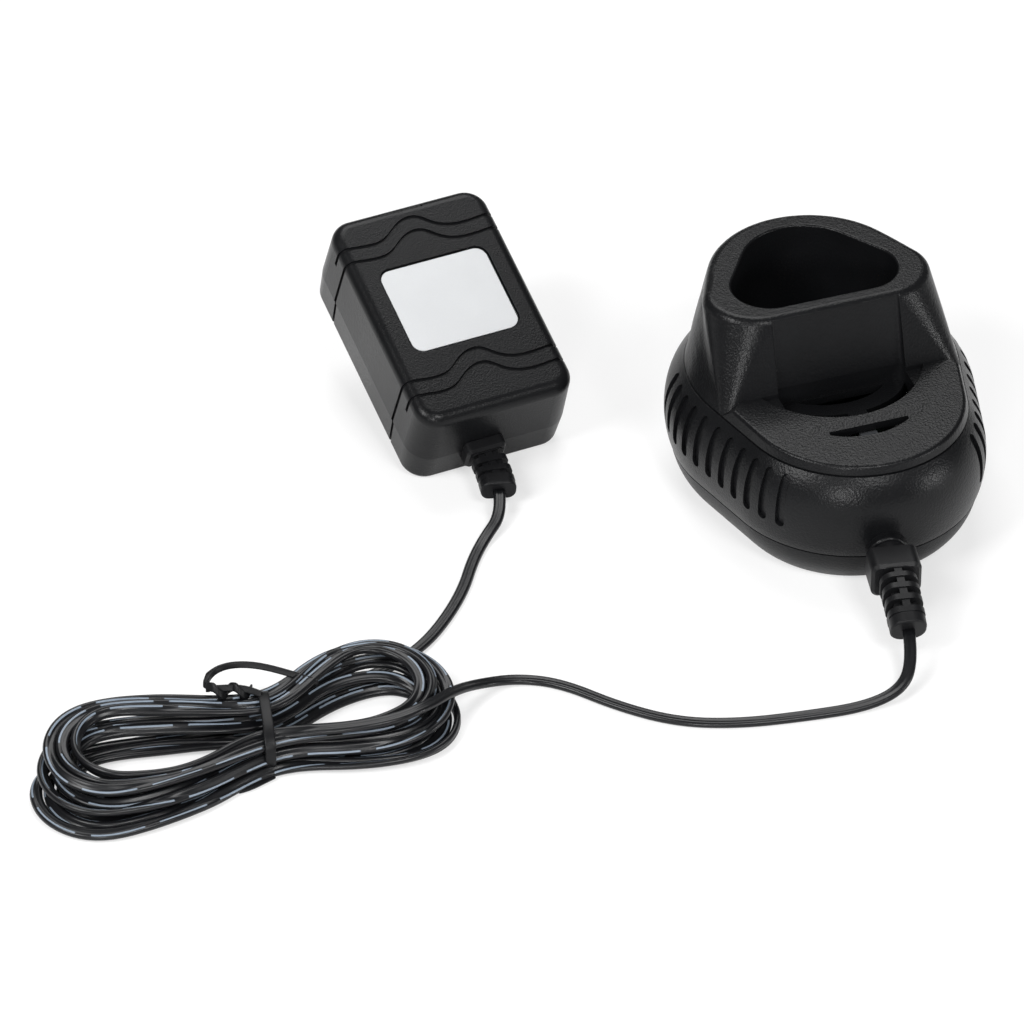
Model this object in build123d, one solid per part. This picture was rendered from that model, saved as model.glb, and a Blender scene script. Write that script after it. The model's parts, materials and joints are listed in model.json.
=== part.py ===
from build123d import *

import math
import os

# Power tool battery charger: a charging cradle, a DC plug, a cord wound in a hank, and a mains adapter.
# Millimetres. The origin is the centre of the cradle's base; +Z is up and the cradle's nose points to -Y.

# ---- Cradle footprint: the hull of a back circle and a nose circle, at the widest level ----
back_radius = 45.0
back_centre_y = 9.5
nose_radius = 39.0
nose_centre_y = -13.5

# ---- Cradle levels, and how far the outline steps in from the widest level there ----
pan_sections = [(0.0, -7.8), (4.5, -4.2), (11.5, -1.8)]
shell_sections = [(11.5, -1.8), (16.5, -0.4), (22.0, 0.0), (28.0, -0.7), (33.0, -2.7), (37.0, -5.6)]
pan_floor = 2.8
case_wall = 2.2
seam_height = 0.5
seam_depth = 0.5

# ---- Grooves on both flanks of the mid shell ----
groove_count = 11
groove_pitch = 6.1
groove_first_heading = -37.8
groove_width = 2.9
groove_depth = 1.2
groove_low = 19.0
groove_high = 34.9

# ---- Top cover: deck ----
deck_rear_z = 40.8
deck_rear_y = -7.0
deck_slope = 1.5
deck_draft = 17.0
deck_edge_radius = 1.2
deck_thickness = 3.0
deck_back_y = -3.0
deck_tip = (31.5, -6.3)
deck_tip_heading = 37.0
deck_tip_fall = 41.0

# ---- Top cover: cup, as hulls of three circles: corner x, corner y, corner radius, back y, back radius ----
rim_z = 62.0
cup_foot = (33.89, -4.6, 3.0, 9.5, 39.4)
cup_rim = (17.6, 17.2, 16.2, 19.6, 29.4)
cavity_foot = (29.4, 0.2, 6.6, 9.5, 36.9)
cup_levels = 4
well_mouth = (14.0, 16.8, 10.8, 24.0, 18.2)
rim_outer_radius = 2.8
rim_inner_radius = 0.7
well_draft = 1.4
well_floor_z = 27.0
well_wall = 2.0
well_drop = 3.2
panel_half_width = 19.5
panel_depth = 2.6
panel_top_depth = 0.8
panel_top_z = 61.2
panel_corner = 1.2

# ---- Top cover: ventilation scoop and slots ----
scoop_radius = 27.0
scoop_centre_y = 4.4
ledge_depth = 1.4
pocket_corner = 3.0
scoop_depth = 5.2
scoop_rise = 11.0
slit_gap = 0.8
slit_half_width = 13.5
slit_depth = 6.2
slot_margin = 0.5
slot_width = 4.4
spine_width = 5.6
lens_radius = 28.0
lens_front_y = -32.0
lens_back_y = -23.9
lens_fall = 12.0
lens_slot_margin = 1.5
lens_slot_back_y = -26.6
lens_slot_half_width = 12.0

# ---- Cradle fixings ----
pillar_spots = [(33.0, 14.0), (-33.0, 14.0), (22.0, -27.0), (-22.0, -27.0)]
pillar_radius = 3.6
pillar_foot_z = 14.0
pillar_top_z = 44.0
screw_shank_radius = 1.5
screw_head_radius = 2.8
screw_head_height = 2.0
screw_length = 17.0
screw_seat_z = 6.0
screw_clearance = 0.3
pad_spots = [(24.0, 28.0), (-24.0, 28.0), (19.0, -26.0), (-19.0, -26.0)]
pad_radius = 4.5
pad_thickness = 1.2

# ---- Charging board and what stands on it ----
board_z = 7.0
board_thickness = 1.6
board_inset = 12.0
board_boss_radius = 3.0
board_boss_spots = [(0.0, 37.0), (25.0, -7.0), (-25.0, -7.0)]
contact_block_size = (27.0, 10.0)
contact_block_y = 20.0
contact_block_top = 29.0
window_clearance = 0.4

# ---- Sprung contacts: leaves that pivot in the block's top ----
leaf_spacing = 15.0
leaf_width = 4.0
leaf_thickness = 0.6
leaf_reach = 6.6
leaf_crest = 3.2
pivot_radius = 0.9
pivot_clearance = 0.1

# ---- DC jack and plug: both lie along a line turned a little off the cradle's centre line ----
jack_x = -3.6
jack_y = -50.8
jack_z = 14.8
plug_yaw = -11.0
boss_radius = 5.9
boss_reach = 4.4
boss_bore = 4.4
jack_width = 9.0
jack_height = 11.0
jack_length = 14.0
jack_bore = 3.2
jack_pin_radius = 1.0
barrel_radius = 2.75
barrel_bore = 1.3
barrel_length = 9.5
barrel_root = 6.0
plug_gap = 0.3
plug_block = (14.4, 11.4, 11.0)
plug_shoulder = 2.6
relief_ring = 1.9
relief_window = 1.9
plug_rings = 4
plug_relief_radius = 5.4
plug_collar_length = 3.4
plug_relief_bend = -24.0

# ---- Mains adapter, in its own frame: the cord end at y = 0, underside at z = 0 ----
adapter_width = 50.2
adapter_length = 74.8
adapter_height = 30.3
adapter_corner = 7.5
adapter_parting = 11.2
adapter_top_draft = 2.0
adapter_foot_draft = 3.0
adapter_top_radius = 3.5
adapter_foot_radius = 2.0
adapter_wall = 2.2
adapter_spot = (-90.3, 42.3)
adapter_yaw = 5.5
edge_waves = [63.4, 10.3]
side_waves = [58.6, 15.4]
wave_points = [(-30.0, 0.0), (-17.3, 0.0), (-9.9, 0.6), (-6.1, 3.2), (-2.4, 5.3), (1.5, 5.4), (5.2, 2.5),
               (8.3, 0.6), (12.3, -0.4), (17.8, -0.4), (30.0, 0.0)]
wave_width = 1.2
wave_depth = 0.7
wave_drop = 7.0
side_wave_drop = 40.0
plate_size = (33.3, 28.8)
plate_corner = 3.4
plate_y = 39.2
plate_margin = 0.6
plate_recess = 0.7
plate_thickness = 0.3
notch_x = -1.4
notch_width = 13.2
notch_depth = 0.9

# ---- Mains pins ----
pin_spacing = 18.8
pin_y = 50.5
pin_radius = 2.0
pin_reach = 19.0
pin_core_radius = 1.5
sleeve_length = 10.0
sleeve_shoulder_radius = 2.7
pin_head_radius = 3.2
pin_head_height = 1.4

# ---- Adapter insides ----
core_size = (35.0, 29.0, 13.6)
core_y = 46.0
limb_width = 9.6
window_size = (6.0, 18.0)
winding_margin = 0.3
winding_height = 21.0
adapter_board_size = (38.0, 15.0, 1.6)
adapter_board_z = 6.0
adapter_board_y = 14.5

# ---- Adapter strain relief ----
gland_x = -3.6
gland_block = (12.4, 8.4, 3.6)
gland_rings = 3
gland_half_width = 5.2
gland_half_height = 3.0
gland_core = (6.0, 4.4)
gland_collar_length = 2.8
gland_bend = 31.0
gland_swing = 40.0

# ---- Cord and hank ----
cord_diameter = 3.6
cord_radius = cord_diameter / 2
adapter_lead = 11.5
adapter_route = [(-106.0, 2.6, 1.8), (-112.5, -9.0, 1.8), (-126.0, -27.0, 1.8), (-150.0, -49.0, 5.0)]
plug_lead = 8.0
plug_route = [(-15.8, -100.5, 2.8), (-25.5, -105.0, 1.8), (-44.0, -101.0, 1.8), (-84.0, -92.5, 1.8),
              (-106.0, -61.5, 1.8), (-127.0, -54.5, 1.8), (-147.0, -58.5, 5.0)]
hank_height = 15.0
hank_outline = [(-259.0, -64.0), (-253.5, -79.5), (-241.0, -83.8), (-221.0, -79.6), (-194.0, -74.5),
                (-172.0, -76.5), (-153.0, -82.3), (-139.0, -76.5), (-134.8, -64.0), (-141.0, -50.0),
                (-156.0, -43.8), (-190.0, -49.8), (-222.0, -43.2), (-246.0, -45.5)]
hank_edge = 4.5
tie_width = 3.2
tie_thickness = 0.9
tie_clearance = 0.15
tie_spot = (-191.0, -62.2)
tie_turn = -12.0
tie_core = (22.0, 12.6)
tie_corner = 4.5
tie_tail = [(-190.0, -54.0), (-194.0, -46.0), (-203.5, -48.0), (-205.5, -38.0), (-195.0, -36.5),
            (-174.0, -46.5)]
tie_tail_radius = 1.0


# ================================ shared shapes ================================


def belt(circles, z=0.0):
    """The face inside a belt that runs round circles (x, y, radius), listed anticlockwise."""
    normals = []
    for (x1, y1, r1), (x2, y2, r2) in zip(circles, circles[1:] + circles[:1]):
        heading = math.atan2(y2 - y1, x2 - x1)
        normals.append(heading - math.acos((r1 - r2) / math.hypot(x2 - x1, y2 - y1)))
    edges = []
    for index, (x, y, radius) in enumerate(circles):
        arrive = normals[index - 1]
        leave = normals[index]
        while leave < arrive:
            leave += 2 * math.pi
        middle = (arrive + leave) / 2
        touch = [(x + radius * math.cos(a), y + radius * math.sin(a), z) for a in (arrive, middle, leave)]
        edges.append(Edge.make_three_point_arc(*touch))
        nx, ny, nr = circles[(index + 1) % len(circles)]
        landing = (nx + nr * math.cos(leave), ny + nr * math.sin(leave), z)
        edges.append(Edge.make_line(touch[2], landing))
    return Face(Wire(edges))


def footprint(step, z=0.0):
    """The cradle's oval outline, moved outward by step."""
    nose = (0.0, nose_centre_y, nose_radius + step)
    back = (0.0, back_centre_y, back_radius + step)
    return belt([nose, back], z)


def cup(section, step, z):
    """An outline of the battery cup, moved outward by step."""
    corner_x, corner_y, corner_r, back_y, back_r = section
    left = (-corner_x, corner_y, corner_r + step)
    right = (corner_x, corner_y, corner_r + step)
    return belt([left, right, (0.0, back_y, back_r + step)], z)


def bowl(sections, step=0.0):
    """A smooth loft through the cradle's outline at several levels."""
    return loft([footprint(inset + step, z) for z, inset in sections])


def rod(radius, low, high, x=0.0, y=0.0):
    return Pos(x, y, (low + high) / 2) * Cylinder(radius, high - low)


def block(width, length, low, high, x=0.0, y=0.0):
    return Pos(x, y, (low + high) / 2) * Box(width, length, high - low)


def along_y(shape):
    """Turns a shape built along +Z so that it runs along -Y."""
    return Rot(90, 0, 0) * shape


# ================================ cradle case ================================

seam_low = shell_sections[0][0]
seam_high = shell_sections[-1][0]
seam_inset = shell_sections[-1][1]
lip_gap = 0.3
lip_wall = 1.2
lip_height = 2.0

pan_lip_step = pan_sections[-1][1] - case_wall - lip_gap
pan_inner = [(pan_floor, pan_sections[0][1])] + pan_sections[1:]
base_pan = bowl(pan_sections) - bowl(pan_inner, -case_wall)
pan_lip = footprint(pan_lip_step) - footprint(pan_lip_step - lip_wall)
base_pan += Pos(0, 0, seam_low - 4.0) * extrude(pan_lip, amount=4.0 + lip_height)
for x, y in pillar_spots:
    base_pan += rod(pillar_radius, 1.0, pillar_foot_z, x, y)
for x, y in board_boss_spots:
    base_pan += rod(board_boss_radius, 1.0, board_z, x, y)
for x, y in pillar_spots:
    base_pan -= rod(screw_head_radius + screw_clearance, -1.0, screw_seat_z, x, y)
    base_pan -= rod(screw_shank_radius + screw_clearance, 0.0, pillar_foot_z + 1.0, x, y)
for x, y in board_boss_spots:
    base_pan -= rod(screw_shank_radius, board_z - 4.0, board_z + 1.0, x, y)
for x, y in pad_spots:
    base_pan -= rod(pad_radius, -1.0, pad_thickness, x, y)

plug_line = Pos(jack_x, jack_y, jack_z) * Rot(0, 0, plug_yaw)
boss_root = 6.0
boss_line = plug_line * Pos(0, boss_root, 0)
boss = boss_line * along_y(rod(boss_radius, 0.0, boss_root + boss_reach))
boss = fillet(boss.edges().sort_by(Axis.Y)[0], 0.9)
bore = boss_line * along_y(rod(boss_bore, -3.0, boss_root + boss_reach + 1.0))
above_seam = block(120.0, 140.0, seam_low, rim_z)
mid_outer = bowl(shell_sections)
mid_shell = mid_outer + (boss & above_seam)
mid_shell -= bowl(shell_sections, -case_wall)
mid_shell -= bore
base_pan += (boss - above_seam) - bowl(pan_inner, -case_wall)
base_pan -= bore


def flank_place(distance):
    """A place on the right flank, a distance back from the foremost groove, facing outward along +X."""
    rise = back_centre_y - nose_centre_y
    tangent_heading = math.asin((nose_radius - back_radius) / rise)
    first_heading = math.radians(groove_first_heading)
    nose_run = nose_radius * (tangent_heading - first_heading)
    straight_run = rise * math.cos(tangent_heading)
    along = min(max((distance - nose_run) / straight_run, 0.0), 1.0)
    radius = nose_radius + (back_radius - nose_radius) * along
    if distance < nose_run:
        heading = first_heading + distance / nose_radius
    else:
        heading = tangent_heading + max(distance - nose_run - straight_run, 0.0) / back_radius
    centre = Pos(0, nose_centre_y + rise * along, 0)
    return centre * Rot(0, 0, math.degrees(heading)) * Pos(radius, 0, 0)


groove_skin = mid_outer - bowl(shell_sections, -groove_depth)
groove_shape = Plane.YZ * SlotOverall(groove_high - groove_low, groove_width, rotation=90)
groove_prism = Pos(-6.0, 0, (groove_low + groove_high) / 2) * extrude(groove_shape, amount=12.0)
grooves = [flank_place(index * groove_pitch) * groove_prism for index in range(groove_count)]
right_grooves = groove_skin & Compound(grooves)
mid_shell -= right_grooves
mid_shell -= mirror(right_grooves, about=Plane.YZ)


# ================================ top cover ================================


def sloped_cutter(rear_z, rear_y, slope, lift=0.0):
    """Everything above a plane that falls toward the nose; lift moves the plane up."""
    return Pos(0, rear_y, rear_z + lift) * Rot(slope, 0, 0) * Pos(0, 0, 30.0) * Box(200.0, 200.0, 60.0)


def cup_loft(foot, rim, step=0.0):
    """The tapered cup between the high seam and the rim, moved outward by a step."""
    sections = []
    for level in range(cup_levels):
        share = level / (cup_levels - 1)
        section = [low + (high - low) * share for low, high in zip(foot, rim)]
        sections.append(cup(section, step, seam_high + (rim_z - seam_high) * share))
    return loft(sections)


deck = extrude(footprint(seam_inset, seam_high), amount=10.0, taper=deck_draft)
deck -= sloped_cutter(deck_rear_z, deck_rear_y, deck_slope)
deck = fillet(deck.faces().sort_by(Axis.Z)[-1].edges(), deck_edge_radius)
deck &= Pos(0, deck_back_y - 60.0, seam_high) * Box(120.0, 120.0, 60.0)
tip_place = Pos(*deck_tip, deck_rear_z) * Rot(0, 0, deck_tip_heading) * Rot(0, deck_tip_fall, 0)
tip_cut = tip_place * Pos(0, 0, 20.0) * Box(60.0, 60.0, 40.0)
deck -= tip_cut
deck -= mirror(tip_cut, about=Plane.YZ)

cup_outer = cup_loft(cup_foot, cup_rim)
cup_outer = fillet(cup_outer.faces().sort_by(Axis.Z)[-1].edges(), rim_outer_radius)
foot_front = cup_foot[1] - cup_foot[2]
rim_front = cup_rim[1] - cup_rim[2]
cup_height = rim_z - seam_high
panel_foot_y = foot_front + panel_depth
panel_run = rim_front + panel_top_depth - panel_foot_y
panel_lean = math.degrees(math.atan(panel_run / cup_height))
panel_tool = Pos(0, -10.0, 0) * Box(2 * panel_half_width, 20.0, 80.0)
panel_tool = fillet(panel_tool.edges().filter_by(Axis.Z).group_by(Axis.Y)[-1], panel_corner)
panel_cut = Pos(0, panel_foot_y, seam_high) * Rot(-panel_lean, 0, 0) * panel_tool
panel_cut &= block(100.0, 100.0, seam_high - 1.0, panel_top_z)
panel_cut &= sloped_cutter(deck_rear_z, deck_rear_y, deck_slope)

cover_inset = case_wall + lip_gap + lip_wall + 0.4
deck_cavity = extrude(footprint(seam_inset - cover_inset, seam_high), amount=12.0)
deck_cavity -= sloped_cutter(deck_rear_z, deck_rear_y, deck_slope, -deck_thickness)
cup_cavity = cup_loft(cavity_foot, cup_rim, -case_wall)
liner_top = rim_z - well_drop
cup_cavity -= block(120.0, 140.0, liner_top, rim_z + 1.0)
panel_back = Pos(0, case_wall, 0) * panel_cut
cavity = deck_cavity + (cup_cavity - panel_back)

# ---- Scoop: a round shallow recess, and a deep pocket in it that stands against the recessed panel ----
deck_level = deck_rear_z - seam_high
wall_y = panel_foot_y + deck_level * math.tan(math.radians(panel_lean))
column_y = foot_front + deck_level * (rim_front - foot_front) / cup_height
scoop_floor_z = deck_rear_z - scoop_depth


def in_front(y):
    """Everything in front of a plane across the cradle."""
    return Pos(0, y - 40.0, 50.0) * Box(120.0, 80.0, 60.0)


scoop_round = rod(scoop_radius, 30.0, 50.0, 0, scoop_centre_y)
ledge = scoop_round & in_front(column_y) & sloped_cutter(deck_rear_z, deck_rear_y, deck_slope, -ledge_depth)
pocket_tool = Pos(0, wall_y - 40.0, 40.0) * Box(2 * panel_half_width, 80.0, 60.0)
pocket_tool = fillet(pocket_tool.edges().filter_by(Axis.Z).group_by(Axis.Y)[-1], pocket_corner)
pocket = scoop_round & pocket_tool & sloped_cutter(scoop_floor_z, deck_rear_y, -scoop_rise)
pocket_case = rod(scoop_radius + case_wall, 30.0, 50.0, 0, scoop_centre_y)
pocket_case &= Pos(0, wall_y + case_wall - 40.0, 40.0) * Box(2 * (panel_half_width + case_wall), 80.0, 60.0)
pocket_case &= sloped_cutter(scoop_floor_z, deck_rear_y, -scoop_rise, -case_wall)

slit_back = wall_y - slit_gap
slit_radius = (slit_half_width**2 + slit_depth**2) / (2 * slit_depth)
slit = rod(slit_radius, 30.0, 50.0, 0, slit_back - slit_depth + slit_radius) & in_front(slit_back)
slot_outer = scoop_radius - slot_margin
slots = rod(slot_outer, 30.0, 45.0, 0, scoop_centre_y)
slots -= rod(slot_outer - slot_width, 29.0, 46.0, 0, scoop_centre_y)
slots &= pocket_tool
slots -= Box(spine_width, 100.0, 120.0)

# ---- Lens: a shallow dish in the deck whose floor falls toward the nose, with a slot through it ----
lens_y = lens_front_y + lens_radius
lens_back_z = deck_rear_z - (deck_rear_y - lens_back_y) * math.tan(math.radians(deck_slope))
lens = rod(lens_radius, 30.0, 50.0, 0, lens_y)
lens &= sloped_cutter(lens_back_z, lens_back_y, deck_slope + lens_fall)
lens &= in_front(lens_back_y)
lens_slot = rod(lens_radius - lens_slot_margin, 30.0, 50.0, 0, lens_y) & in_front(lens_slot_back_y)
lens_slot &= Box(2 * lens_slot_half_width, 200.0, 200.0)

# ---- Well: a liner of its own under the rim, which holds the battery pack's foot ----
well_depth = rim_z - well_floor_z
mouth = cup(well_mouth, 0.0, rim_z)
well = extrude(mouth, amount=well_depth, dir=(0, 0, -1), taper=well_draft)
well_outline = cup(well_mouth, well_wall, rim_z)
well_case = extrude(well_outline, amount=well_depth + well_wall, dir=(0, 0, -1), taper=well_draft)
well_liner = (well_case & block(90.0, 90.0, 20.0, liner_top)) - well
window_x = contact_block_size[0] + 2 * window_clearance
window_y = contact_block_size[1] + 2 * window_clearance
well_liner -= block(window_x, window_y, 20.0, well_floor_z + 1.0, 0, contact_block_y)

outer = deck + cup_outer
top_cover = outer - (cavity - pocket_case)
top_cover += pocket_case & block(90.0, 90.0, 20.0, seam_high)
lip_step = seam_inset - case_wall - lip_gap
cover_lip = footprint(lip_step) - footprint(lip_step - lip_wall)
top_cover += Pos(0, 0, seam_high - lip_height) * extrude(cover_lip, amount=lip_height + 0.5)
cover_core = cup_loft(cup_foot, cup_rim, -1.0) + block(90.0, 40.0, seam_high, 38.5, 0, -30.0)
for x, y in pillar_spots:
    pillar = rod(pillar_radius, seam_high, pillar_top_z, x, y) & cover_core
    top_cover += pillar + rod(pillar_radius, pillar_foot_z, seam_high, x, y)
top_cover -= panel_cut
for opening in (ledge, pocket, slit, slots, lens, lens_slot):
    top_cover -= opening
top_cover -= well
mouth_edges = top_cover.faces().sort_by(Axis.Z)[-1].inner_wires()[0].edges()
top_cover = fillet(mouth_edges, rim_inner_radius)
screw_top = screw_seat_z + screw_length - screw_head_height
for x, y in pillar_spots:
    top_cover -= rod(screw_shank_radius, pillar_foot_z - 1.0, screw_top + 1.0, x, y)


def seam_ring(step, z):
    """A thin ring that cuts the parting line a little way into the case."""
    ring = footprint(step + 3.0) - footprint(step - seam_depth)
    return Pos(0, 0, z - seam_height / 2) * extrude(ring, amount=seam_height)


low_ring = seam_ring(pan_sections[-1][1], seam_low) - boss
high_ring = seam_ring(seam_inset, seam_high)
base_pan -= low_ring
mid_shell -= low_ring
mid_shell -= high_ring
top_cover -= high_ring


# ================================ cradle insides ================================

board_top = board_z + board_thickness
board = extrude(footprint(-board_inset, board_z), amount=board_thickness)
for x, y in pillar_spots:
    board -= rod(pillar_radius + lip_gap, board_z - 1.0, board_top + 1.0, x, y)
board_screws = Part()
for x, y in board_boss_spots:
    board -= rod(screw_shank_radius + screw_clearance, board_z - 1.0, board_top + 1.0, x, y)
    board_screws += rod(screw_shank_radius, board_z - 4.0, board_top, x, y)
    board_screws += rod(screw_head_radius, board_top, board_top + 1.6, x, y)

case_screws = Part()
rubber_feet = Part()
for x, y in pillar_spots:
    case_screws += rod(screw_head_radius, screw_seat_z - screw_head_height, screw_seat_z, x, y)
    case_screws += rod(screw_shank_radius, screw_seat_z, screw_top, x, y)
for x, y in pad_spots:
    rubber_feet += rod(pad_radius, 0.0, pad_thickness, x, y)

# ---- Contact block with two slots, and a sprung leaf that turns on a pin in each ----
leaf_slot_floor = contact_block_top - 4.2
pivot_y = contact_block_y - contact_block_size[1] / 2 + 2.4
pivot_z = contact_block_top - 1.6
leaf_rise = contact_block_top + leaf_crest - pivot_z
contact_block = block(*contact_block_size, board_top, contact_block_top, 0, contact_block_y)
contact_block = chamfer(contact_block.faces().sort_by(Axis.Z)[-1].edges(), 0.6)


def contact_leaf(x):
    """A bent strip with a curled foot round its pivot pin."""
    crest = [(4.4, leaf_rise - 0.5), (5.2, leaf_rise - 0.3), (leaf_reach, leaf_rise - 2.4)]
    bends = [(0.0, 0.0), (1.8, 0.2)] + crest
    strip = Plane.YZ * trace(FilletPolyline(*bends, radius=0.35), line_width=leaf_thickness)
    strip = extrude(strip, amount=leaf_width / 2, both=True)
    pin = Rot(0, 90, 0) * Cylinder(pivot_radius, leaf_width + 2.6)
    return Pos(x, pivot_y, pivot_z) * (strip + pin)


leaf_slot_width = leaf_width + 0.7
for x in (-leaf_spacing / 2, leaf_spacing / 2):
    slot_front = pivot_y - pivot_radius - 0.5
    slot_back = pivot_y + leaf_reach + 1.1
    slot_middle = (slot_front + slot_back) / 2
    contact_block -= block(leaf_slot_width, slot_back - slot_front, leaf_slot_floor, 40.0, x, slot_middle)
    pin_hole = Rot(0, 90, 0) * Cylinder(pivot_radius + pivot_clearance, leaf_width + 3.0)
    contact_block -= Pos(x, pivot_y, pivot_z) * pin_hole
contact_left = contact_leaf(-leaf_spacing / 2)
contact_right = contact_leaf(leaf_spacing / 2)

# ---- DC jack, lying on the plug's line; distances run outward from the shell's nose ----
jack_front = -5.2
jack_nose = boss_reach - 0.4
jack_foot = jack_z - board_top
jack_body_height = jack_foot + jack_height / 2
jack_body_lift = (jack_height / 2 - jack_foot) / 2
dc_jack = block(jack_width, jack_body_height, jack_front - jack_length, jack_front, 0, jack_body_lift)
dc_jack += rod(boss_bore - lip_gap, jack_front, jack_nose)
dc_jack -= rod(jack_bore, -8.0, jack_nose + 1.0)
dc_jack -= rod(jack_pin_radius, -12.0, -8.0)
dc_jack = plug_line * along_y(dc_jack)
jack_pin = fillet(rod(jack_pin_radius, -12.0, 2.0).edges().sort_by(Axis.Z)[-1], 0.4)
jack_pin = plug_line * along_y(jack_pin)

# ---- Light guide: a sloping bar on two legs, each over a lamp on the board ----
guide_width = 5.0
guide_y = (-9.0, -28.6)
guide_drop = case_wall + 0.4
guide_bar = block(guide_width, guide_y[0] - guide_y[1], 20.0, 45.0, 0, sum(guide_y) / 2)
guide_bar -= sloped_cutter(scoop_floor_z, deck_rear_y, -scoop_rise, -guide_drop)
guide_bar &= sloped_cutter(scoop_floor_z, deck_rear_y, -scoop_rise, -guide_drop - 2.2)
guide_bar -= sloped_cutter(deck_rear_z, deck_rear_y, deck_slope, -deck_thickness - 0.4)
lamp_spots = [(0.0, -12.5), (0.0, -26.0)]
lamp_height = 2.6
light_guide = guide_bar
charge_lamps = Part()
for x, y in lamp_spots:
    leg = rod(1.8, board_top + lamp_height + 0.5, 40.0, x, y)
    leg -= sloped_cutter(scoop_floor_z, deck_rear_y, -scoop_rise, -guide_drop - 1.0)
    light_guide += leg - sloped_cutter(deck_rear_z, deck_rear_y, deck_slope, -deck_thickness - 1.0)
    charge_lamps += block(3.2, 2.8, board_top, board_top + 1.2, x, y)
    charge_lamps += rod(1.1, board_top + 1.2, board_top + lamp_height, x, y)

# ---- Charging parts on the board ----
filter_capacitor = rod(5.0, board_top, board_top + 13.0, -17.0, -15.0)
filter_capacitor = fillet(filter_capacitor.edges().sort_by(Axis.Z)[-1], 0.6)
choke_x = 14.0
choke_y = -17.5
coil_ring = 5.2
coil_wire = 2.3
choke_coil = Pos(choke_x, choke_y, board_top + coil_wire + 1.0) * Torus(coil_ring, coil_wire)
choke_base = block(12.0, 12.0, board_top, board_top + 1.0, choke_x, choke_y)
controller_chip = block(9.0, 6.0, board_top, board_top + 1.6, -16.0, 3.0)
controller_chip = chamfer(controller_chip.edges().group_by(Axis.Z)[-1], 0.3)
chip_leads = Part()
for row in range(4):
    lead_x = -16.0 + (row - 1.5) * 1.9
    chip_leads += block(0.7, 9.0, board_top, board_top + 0.5, lead_x, 3.0)
controller_chip -= chip_leads
sink_x = 20.0
sink_y = 4.0
heat_sink = block(1.6, 15.0, board_top, board_top + 13.0, sink_x, sink_y)
for row in range(5):
    heat_sink += block(6.0, 1.0, board_top, board_top + 13.0, sink_x + 3.6, sink_y + (row - 2) * 3.2)
power_transistor = block(3.2, 9.6, board_top + 3.0, board_top + 12.0, sink_x - 2.4, sink_y)
for row in range(3):
    power_transistor += block(0.7, 1.0, board_top, board_top + 3.0, sink_x - 2.4, sink_y + (row - 1) * 2.6)
rectifier = Pos(4.0, 4.5, board_top + 1.6) * Rot(0, 90, 0) * Cylinder(1.6, 6.0)
for side in (-1, 1):
    rectifier += Pos(4.0 + side * 4.0, 4.5, board_top + 1.6) * Rot(0, 90, 0) * Cylinder(0.4, 2.4)
    rectifier += rod(0.4, board_top, board_top + 1.8, 4.0 + side * 5.0, 4.5)


# ================================ DC plug ================================


def on_arc(distance, length, bend, swing=0.0):
    """A place on an arc that leaves along +Z and turns by bend degrees over length; swing turns it about Z."""
    radius = length / math.radians(bend)
    angle = distance / radius
    arc = Pos(0, radius * (1 - math.cos(angle)), radius * math.sin(angle)) * Rot(-math.degrees(angle), 0, 0)
    return Rot(0, 0, swing) * arc * Rot(0, 0, -swing)


def ribbed_relief(rings, first, last, core, collar_length, bend, swing=0.0):
    """Rings joined by a core and a thin spine, so each gap shows two windows; sizes are (width, height)."""
    pitch = relief_ring + relief_window
    length = rings * pitch + collar_length
    body = Part()
    for index in range(rings):
        share = index / rings
        width = first[0] + (last[0] - first[0]) * share
        height = first[1] + (last[1] - first[1]) * share
        ring = extrude(RectangleRounded(width, height, height * 0.36), amount=relief_ring / 2, both=True)
        link = block(core[0], core[1], -pitch / 2 - 0.3, pitch / 2 + 0.3)
        spine = block(2.2, height - 0.6, -pitch / 2 - 0.3, pitch / 2 + 0.3)
        body += on_arc((index + 0.5) * pitch, length, bend, swing) * (link + spine)
        body += on_arc(index * pitch + relief_window + relief_ring / 2, length, bend, swing) * ring
    collar = extrude(RectangleRounded(last[0], last[1], last[1] * 0.42), amount=collar_length)
    collar = fillet(collar.edges().group_by(Axis.Z)[-1], 0.6)
    body += on_arc(rings * pitch, length, bend, swing) * collar
    body += extrude(RectangleRounded(*first, first[1] * 0.36), amount=0.3)
    body &= Pos(0, 0, 50.0) * Box(40.0, 40.0, 100.0)
    return body, on_arc(rings * pitch, length, bend, swing) * Pos(0, 0, collar_length)


plug_front = boss_reach + plug_gap
plug_block_start = plug_front + plug_shoulder
plug_back = plug_front + plug_block[1]
plug_size = (2 * plug_relief_radius, 2 * plug_relief_radius - 0.6)
plug_end_size = (10.4, 9.6)
plug_relief, plug_tip = ribbed_relief(
    plug_rings, plug_size, plug_end_size, (6.4, 5.6), plug_collar_length, plug_relief_bend
)
plug_grip = extrude(RectangleRounded(plug_block[0], plug_block[2], 2.4), amount=plug_back - plug_block_start)
plug_grip = chamfer(plug_grip.edges().group_by(Axis.Z)[-1], 0.9)
dc_plug = rod(5.2, plug_front, plug_block_start) + Pos(0, 0, plug_block_start) * plug_grip
dc_plug += Pos(0, 0, plug_back) * plug_relief
dc_plug -= rod(barrel_radius, plug_front - 1.0, plug_front + barrel_root)
barrel_tube = 0.4
plug_barrel = rod(barrel_radius, plug_front - barrel_length, plug_front + barrel_root)
plug_barrel -= rod(barrel_radius - barrel_tube, plug_front - 20.0, plug_front + 20.0)
plug_insulator = rod(barrel_radius - barrel_tube, plug_front - barrel_length + 0.4, plug_front + barrel_root)
plug_insulator -= rod(barrel_bore, plug_front - 20.0, plug_front + 20.0)
plug_exit = plug_line * Rot(90, 0, 0) * Pos(0, 0, plug_back) * plug_tip
dc_plug = plug_line * along_y(dc_plug)
plug_barrel = plug_line * along_y(plug_barrel)
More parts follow.
